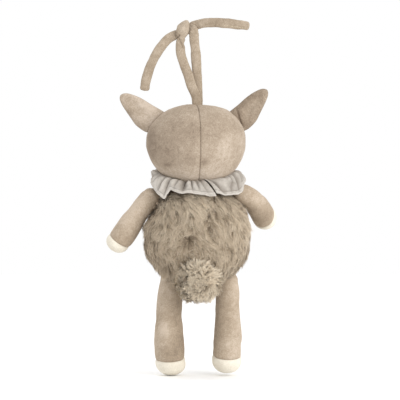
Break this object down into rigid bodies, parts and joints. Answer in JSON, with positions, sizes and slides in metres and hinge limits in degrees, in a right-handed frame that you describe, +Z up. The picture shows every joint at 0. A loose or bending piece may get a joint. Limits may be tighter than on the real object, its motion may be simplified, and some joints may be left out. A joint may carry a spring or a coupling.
{
  "type": "hanging musical soft toy",
  "caption": "Plush fawn soft toy with fur body, sewn swinging limbs, gathered collar, hanging ties and a tail that pulls a wind-up music movement.",
  "frame": {"origin": "top of the hanging loop, between the two ties just under their knot", "axes": "+Z up, the fawn faces -Y, its left side is +X"},
  "size_m": [0.1721, 0.1107, 0.3574],
  "materials": {
    "velour": "matte",
    "cream_plush": "matte",
    "long_fur": "matte",
    "muslin": "matte",
    "embroidery": "satin",
    "cord": "matte",
    "fibre_fill": "matte",
    "white_plastic": "satin",
    "brass": "satin",
    "steel": "satin"
  },
  "bodies": {
    "ties": {"tie_left": "velour", "tie_right": "velour"},
    "head": {"head_back_left": "velour", "head_back_right": "velour", "face_panel": "velour", "head_stuffing": "fibre_fill", "muzzle": "cream_plush", "nose": "embroidery", "eye_left": "embroidery", "eye_right": "embroidery", "ear_left_back": "velour", "ear_left_lining": "cream_plush", "ear_right_back": "velour", "ear_right_lining": "cream_plush"},
    "collar": {"neck_stuffing": "fibre_fill", "neck_band": "muslin", "collar_ruffle": "muslin"},
    "torso": {"torso_fur_back": "long_fur", "torso_fur_front": "long_fur", "torso_stuffing": "fibre_fill", "cord_eyelet": "white_plastic", "case_front": "white_plastic", "case_back": "white_plastic", "movement_chassis": "steel", "comb": "steel", "comb_bridge": "brass", "comb_screw_1": "steel", "comb_screw_2": "steel", "pull_cord": "cord"},
    "shoulder_left": {"shoulder_tab_left": "velour"},
    "arm_left": {"arm_left_sleeve": "velour", "arm_left_hand": "cream_plush", "arm_left_stuffing": "fibre_fill"},
    "shoulder_right": {"shoulder_tab_right": "velour"},
    "arm_right": {"arm_right_sleeve": "velour", "arm_right_hand": "cream_plush", "arm_right_stuffing": "fibre_fill"},
    "leg_left": {"hip_tab_left": "velour", "leg_left_sleeve": "velour", "leg_left_foot": "cream_plush", "leg_left_stuffing": "fibre_fill"},
    "leg_right": {"hip_tab_right": "velour", "leg_right_sleeve": "velour", "leg_right_foot": "cream_plush", "leg_right_stuffing": "fibre_fill"},
    "tail": {"tail_pompom": "long_fur", "tail_knot": "cord"},
    "reel": {"reel_arbor": "steel", "cord_reel": "white_plastic", "cord_winding": "cord", "spring_barrel": "brass", "mainspring": "steel", "great_wheel": "brass"},
    "cylinder": {"cylinder_arbor": "steel", "pinned_cylinder": "brass", "cylinder_pinion": "brass", "governor_wheel": "brass"},
    "governor": {"governor_arbor": "steel", "governor_fan": "white_plastic"}
  },
  "joints": [
    {"name": "tie_swing", "type": "hinge", "parent": "ties", "child": "head", "pos_m": [-0.0086, 0, -0.06], "axis": [1, 0, 0], "range_deg": [-22, 22]},
    {"name": "neck_nod", "type": "hinge", "parent": "head", "child": "collar", "pos_m": [-0.0076, 0, -0.137], "axis": [1, 0, 0], "range_deg": [-14, 14], "stiffness_Nm_per_rad": 0.4},
    {"name": "neck_turn", "type": "hinge", "parent": "collar", "child": "torso", "pos_m": [-0.0076, 0, -0.151], "axis": [0, 0, 1], "range_deg": [-30, 30], "stiffness_Nm_per_rad": 0.15},
    {"name": "arm_left_raise", "type": "hinge", "parent": "torso", "child": "shoulder_left", "pos_m": [0.0299, 0.003, -0.1627], "axis": [0, -1, 0], "range_deg": [0, 32], "stiffness_Nm_per_rad": 0.06},
    {"name": "arm_left_swing", "type": "hinge", "parent": "shoulder_left", "child": "arm_left", "pos_m": [0.0333, 0.003, -0.1585], "axis": [-1, 0, 0], "range_deg": [-35, 60], "stiffness_Nm_per_rad": 0.06},
    {"name": "arm_right_raise", "type": "hinge", "parent": "torso", "child": "shoulder_right", "pos_m": [-0.0472, 0.002, -0.1634], "axis": [0, 1, 0], "range_deg": [0, 25], "stiffness_Nm_per_rad": 0.06},
    {"name": "arm_right_swing", "type": "hinge", "parent": "shoulder_right", "child": "arm_right", "pos_m": [-0.05, 0.002, -0.1592], "axis": [-1, 0, 0], "range_deg": [-60, 35], "stiffness_Nm_per_rad": 0.06},
    {"name": "leg_left_swing", "type": "hinge", "parent": "torso", "child": "leg_left", "pos_m": [0.019, 0, -0.23], "axis": [-1, 0, 0], "range_deg": [-30, 70], "stiffness_Nm_per_rad": 0.04},
    {"name": "leg_right_swing", "type": "hinge", "parent": "torso", "child": "leg_right", "pos_m": [-0.0384, 0, -0.23], "axis": [-1, 0, 0], "range_deg": [-30, 70], "stiffness_Nm_per_rad": 0.04},
    {"name": "tail_pull", "type": "slide", "parent": "torso", "child": "tail", "axis": [0, 0.5, -0.866], "range_m": [0, 0.2], "stiffness_N_per_m": 15, "springref_m": -0.1, "deforming": ["pull_cord"]},
    {"name": "reel_spin", "type": "hinge", "parent": "torso", "child": "reel", "pos_m": [-0.009, 0.0032, -0.2035], "axis": [-1, 0, 0], "range_deg": [0, 1440]},
    {"name": "cylinder_spin", "type": "hinge", "parent": "torso", "child": "cylinder", "pos_m": [-0.009, 0, -0.18772], "axis": [1, 0, 0], "range_deg": [0, 2240]},
    {"name": "governor_spin", "type": "hinge", "parent": "torso", "child": "governor", "pos_m": [-0.009, 0.0092, -0.18381], "axis": [-1, 0, 0], "range_deg": [0, 8920]}
  ],
  "couplings": [
    {"joint": "reel_spin", "follows": "tail_pull", "rad_per_m": 125},
    {"joint": "cylinder_spin", "follows": "tail_pull", "rad_per_m": 194.44},
    {"joint": "governor_spin", "follows": "tail_pull", "rad_per_m": 777.78}
  ]
}
